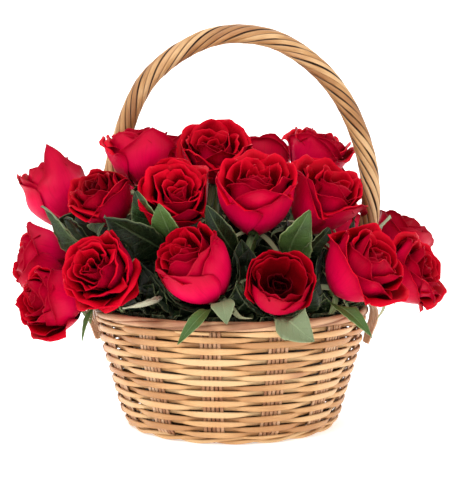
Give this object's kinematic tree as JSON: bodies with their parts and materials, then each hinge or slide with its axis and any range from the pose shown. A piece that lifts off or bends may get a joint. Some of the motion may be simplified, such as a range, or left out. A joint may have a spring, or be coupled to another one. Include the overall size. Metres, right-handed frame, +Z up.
{
  "type": "flower basket arrangement",
  "caption": "Red roses with leafy stems standing in wet floral foam in a round wicker basket with an arched, wrapped carrying handle.",
  "frame": {"origin": "middle of the basket's flat underside, on the surface that it stands on", "axes": "+Z up, the front of the arrangement faces -Y, the handle stands nearly over the X axis"},
  "size_m": [0.3728, 0.2926, 0.3395],
  "materials": {
    "stake_cane": "natural split cane, reddish brown, satin",
    "weaver_cane": "natural peeled cane, honey tan, satin",
    "wrapping_cane": "flat wrapping cane, golden tan, satin",
    "lashing_cane": "flat lashing cane, pinkish brown, satin",
    "liner_film": "thin dark moulded liner, semi-gloss",
    "foam": "wet green floral foam, matt and fine-pored",
    "leaf_green": "fresh rose leaf, waxy above and pale below",
    "rose_petal": "velvety red petals, crimson pink on their backs"
  },
  "bodies": {
    "root": {"base_and_stakes": "stake_cane", "weaver": "weaver_cane", "rim_border": "weaver_cane", "handle_core": "stake_cane", "handle_wrapping": "wrapping_cane", "lashing_left": "lashing_cane", "lashing_right": "lashing_cane", "liner": "liner_film", "foam": "foam", "stem_left_high": "leaf_green", "rose_left_high": "rose_petal", "stem_left_inner": "leaf_green", "rose_left_inner": "rose_petal", "stem_left_top": "leaf_green", "rose_left_top": "rose_petal", "stem_crown": "leaf_green", "rose_crown": "rose_petal", "stem_front_top_left": "leaf_green", "rose_front_top_left": "rose_petal", "stem_front_top": "leaf_green", "rose_front_top": "rose_petal", "stem_front_top_right": "leaf_green", "rose_front_top_right": "rose_petal", "stem_right_top": "leaf_green", "rose_right_top": "rose_petal", "stem_back_top_right": "leaf_green", "rose_back_top_right": "rose_petal", "stem_back_top_left": "leaf_green", "rose_back_top_left": "rose_petal", "stem_left_far": "leaf_green", "rose_left_far": "rose_petal", "stem_left_low": "leaf_green", "rose_left_low": "rose_petal", "stem_front_left": "leaf_green", "rose_front_left": "rose_petal", "stem_front_mid": "leaf_green", "rose_front_mid": "rose_petal", "stem_front_low": "leaf_green", "rose_front_low": "rose_petal", "stem_front_right": "leaf_green", "rose_front_right": "rose_petal", "stem_right_far": "leaf_green", "rose_right_far": "rose_petal", "stem_right_high": "leaf_green", "rose_right_high": "rose_petal", "stem_right_inner": "leaf_green", "rose_right_inner": "rose_petal", "stem_back_left": "leaf_green", "rose_back_left": "rose_petal", "stem_back_mid": "leaf_green", "rose_back_mid": "rose_petal", "stem_back_right": "leaf_green", "rose_back_right": "rose_petal", "stem_back_low_left": "leaf_green", "rose_back_low_left": "rose_petal", "stem_back_low_mid": "leaf_green", "rose_back_low_mid": "rose_petal"}
  },
  "joints": []
}
